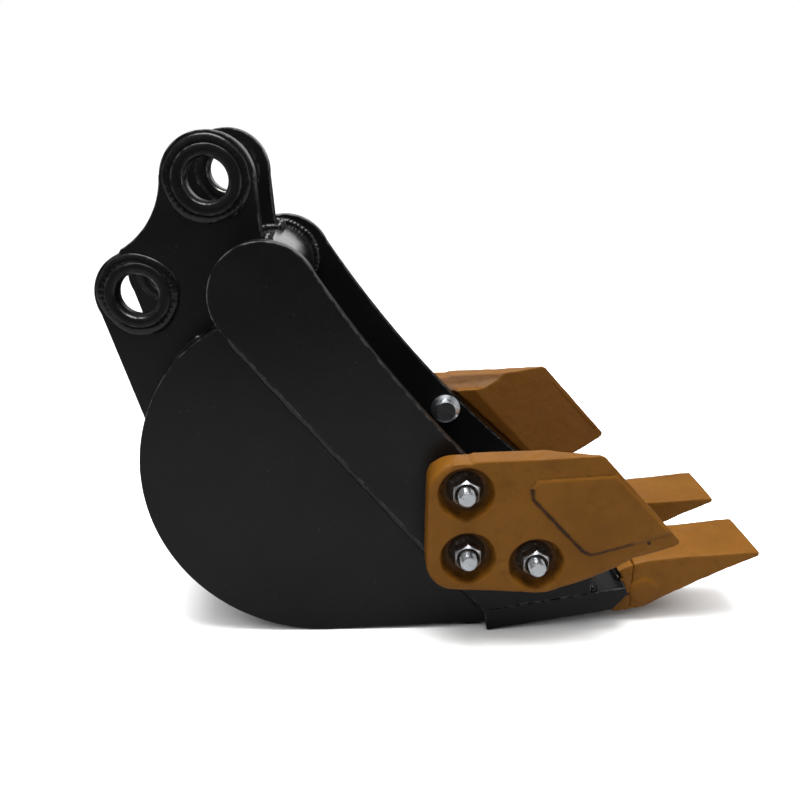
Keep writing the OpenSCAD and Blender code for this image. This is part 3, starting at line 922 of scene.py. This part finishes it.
# ---------------------------------------------------------------- cutter bolts
# M12 flange bolts and nuts, zinc plated. The heads sit inside the bucket and
# the threaded ends stand out of the nuts in the cutters' pockets.
zinc, tree, shader = new_material("bright zinc plate")
where = node(tree, "ShaderNodeTexCoord").outputs["Object"]
blush = ramp(tree, noise_field(tree, where, 110, 5), 0.35, 0.65)
colour = mix_colour(tree, blush, (0.56, 0.59, 0.63), (0.70, 0.72, 0.74))
grime = use_effect(tree, specks, where, Scale=260.0, Size=0.2, Share=0.72)
colour = mix_colour(tree, combine(tree, "MULTIPLY", grime, 0.35), colour, (0.12, 0.1, 0.08))
tree.links.new(colour, shader.inputs["Base Color"])
gloss = ramp(tree, noise_field(tree, where, 300, 4), 0.3, 0.7, 0.26, 0.38)
tree.links.new(gloss, shader.inputs["Roughness"])
shader.inputs["Metallic"].default_value = 1
add_bump(tree, shader, use_effect(tree, skin_relief, where, Scale=900.0, Depth=1.0), 0.0002, 0.3)

# Paint and soil from the pockets have stained the flanges of the nuts
stained_zinc, tree, shader = new_material("stained zinc")
where = node(tree, "ShaderNodeTexCoord").outputs["Object"]
stain = ramp(tree, noise_field(tree, where, 260, 5), 0.58, 0.72)
colour = mix_colour(tree, stain, (0.030, 0.017, 0.008), (0.30, 0.29, 0.28))
tree.links.new(colour, shader.inputs["Base Color"])
tree.links.new(ramp(tree, stain, 0.0, 1.0, 0.55, 0.3), shader.inputs["Roughness"])
tree.links.new(stain, shader.inputs["Metallic"])


def hexagon(name, centre, near, far, across_flats, crown):
    """A hexagonal prism along Y whose far corners are chamfered to a round."""
    bpy.ops.object.select_all(action="DESELECT")
    bpy.ops.mesh.primitive_cylinder_add(vertices=6, radius=across_flats / math.sqrt(3), depth=1)
    piece = bpy.context.object
    piece.name = name
    for vertex in piece.data.vertices:
        x, y, z = vertex.co
        vertex.co = (centre[0] + x, near if z < 0 else far, centre[1] + y)
    bpy.ops.object.mode_set(mode="EDIT")
    bpy.ops.mesh.select_all(action="SELECT")
    bpy.ops.mesh.normals_make_consistent(inside=False)
    bpy.ops.object.mode_set(mode="OBJECT")
    step = math.copysign(1, far - near)
    lathe = turned("lathe_tool", (
        (near - step * 0.001, 0.0001), (near - step * 0.001, across_flats),
        (far - step * crown * 1.6, across_flats * 0.62), (far, across_flats * 0.47),
        (far + step * 0.00001, 0.0001)), (centre[0], 0, centre[1]), 64)
    apply_modifier(piece, "BOOLEAN", object=lathe, operation="INTERSECT", solver="MANIFOLD")
    bpy.data.objects.remove(lathe)
    return piece


def threaded_end(name, centre, side, start, stop, radius=0.006, pitch=0.00175):
    """A right-hand M12 thread along Y, running out in a chamfered end."""
    around = 40
    rings_per_turn = 7
    thread_depth = 0.00105
    rings = round(abs(stop - start) / pitch * rings_per_turn)
    bpy.ops.object.select_all(action="DESELECT")
    bpy.ops.mesh.primitive_grid_add(x_subdivisions=around, y_subdivisions=rings, size=1)
    piece = bpy.context.object
    piece.name = name
    length = abs(stop - start)
    for vertex in piece.data.vertices:
        round_share = round((vertex.co.x + 0.5) * around) / around
        turn = -side * 2 * math.pi * round_share
        along = (vertex.co.y + 0.5) * length
        wave = abs((along / pitch - round_share) % 1 - 0.5) * 2
        cut = 0 if along < 0.002 else thread_depth
        depth = cut * (1 - min(1, max(0, wave * 1.35 - 0.12)))
        left = length - along
        r = min(radius - depth, radius - 0.0012 + left) if left > 1e-6 else radius - 0.0013
        vertex.co = (centre[0] + r * math.cos(turn), start + side * along, centre[1] + r * math.sin(turn))
    bpy.ops.object.mode_set(mode="EDIT")
    bpy.ops.mesh.select_all(action="SELECT")
    bpy.ops.mesh.remove_doubles(threshold=0.00002)
    bpy.ops.mesh.select_all(action="DESELECT")
    bpy.ops.mesh.select_non_manifold(use_boundary=True, extend=False)
    bpy.ops.mesh.fill_holes(sides=0)
    bpy.ops.mesh.select_all(action="SELECT")
    bpy.ops.mesh.normals_make_consistent(inside=False)
    bpy.ops.object.mode_set(mode="OBJECT")
    return piece


def join(name, pieces, sharp=35):
    """Joins finished solids into one piece."""
    bpy.ops.object.select_all(action="DESELECT")
    for piece in pieces:
        piece.select_set(True)
    bpy.context.view_layer.objects.active = pieces[0]
    bpy.ops.object.join()
    pieces[0].name = name
    bpy.ops.object.shade_smooth_by_angle(angle=math.radians(sharp))
    return pieces[0]


bar_inside = 0.074
nut_seat = abs(cutter_face) - pocket_depth
bolt_end = 0.119
across_flats = 0.018
flange_radius = 0.013
for side, hand in ((-1, "right"), (1, "left")):
    bolts = []
    nuts = []
    for x, z in bolt_places:
        inside = side * bar_inside
        head = hexagon("head", (x, z), inside - side * 0.002, inside - side * 0.009, across_flats, 0.0012)
        flange = turned("flange", (
            (inside, 0.0001), (inside, flange_radius), (inside - side * 0.0012, flange_radius),
            (inside - side * 0.0036, 0.0096), (inside - side * 0.0036, 0.0001)), (x, 0, z), 48)
        shank = threaded_end("shank", (x, z), side, inside - side * 0.001, side * bolt_end)
        bolts += [head, flange, shank]
        seat_y = side * nut_seat
        nut = hexagon("nut", (x, z), seat_y + side * 0.002, seat_y + side * 0.012, across_flats, 0.0018)
        skirt = turned("skirt", (
            (seat_y, 0.0062), (seat_y, flange_radius), (seat_y + side * 0.0012, flange_radius),
            (seat_y + side * 0.0036, 0.0096), (seat_y + side * 0.0036, 0.0062)), (x, 0, z), 48)
        bore = turned("bore_tool", (
            (seat_y - side * 0.01, 0.0001), (seat_y - side * 0.01, 0.00615),
            (seat_y + side * 0.0098, 0.00615), (seat_y + side * 0.0104, 0.0072),
            (seat_y + side * 0.0126, 0.0078), (seat_y + side * 0.0126, 0.0001)), (x, 0, z), 48)
        cut_away(nut, bore)
        nuts += [nut, skirt]
    in_service(join(f"flange_bolts_{hand}", bolts), "zinc", zinc, f"cutter_bolts_{hand}")
    flange_nuts = join(f"flange_nuts_{hand}", nuts)
    in_service(flange_nuts, "zinc", zinc, f"cutter_nuts_{hand}")
    flange_nuts.data.materials.append(stained_zinc)
    for face in flange_nuts.data.polygons:
        reach = min(math.hypot(face.center.x - x, face.center.z - z) for x, z in bolt_places)
        face.material_index = int(abs(face.center.y) < nut_seat + 0.0055 or reach < 0.0076)
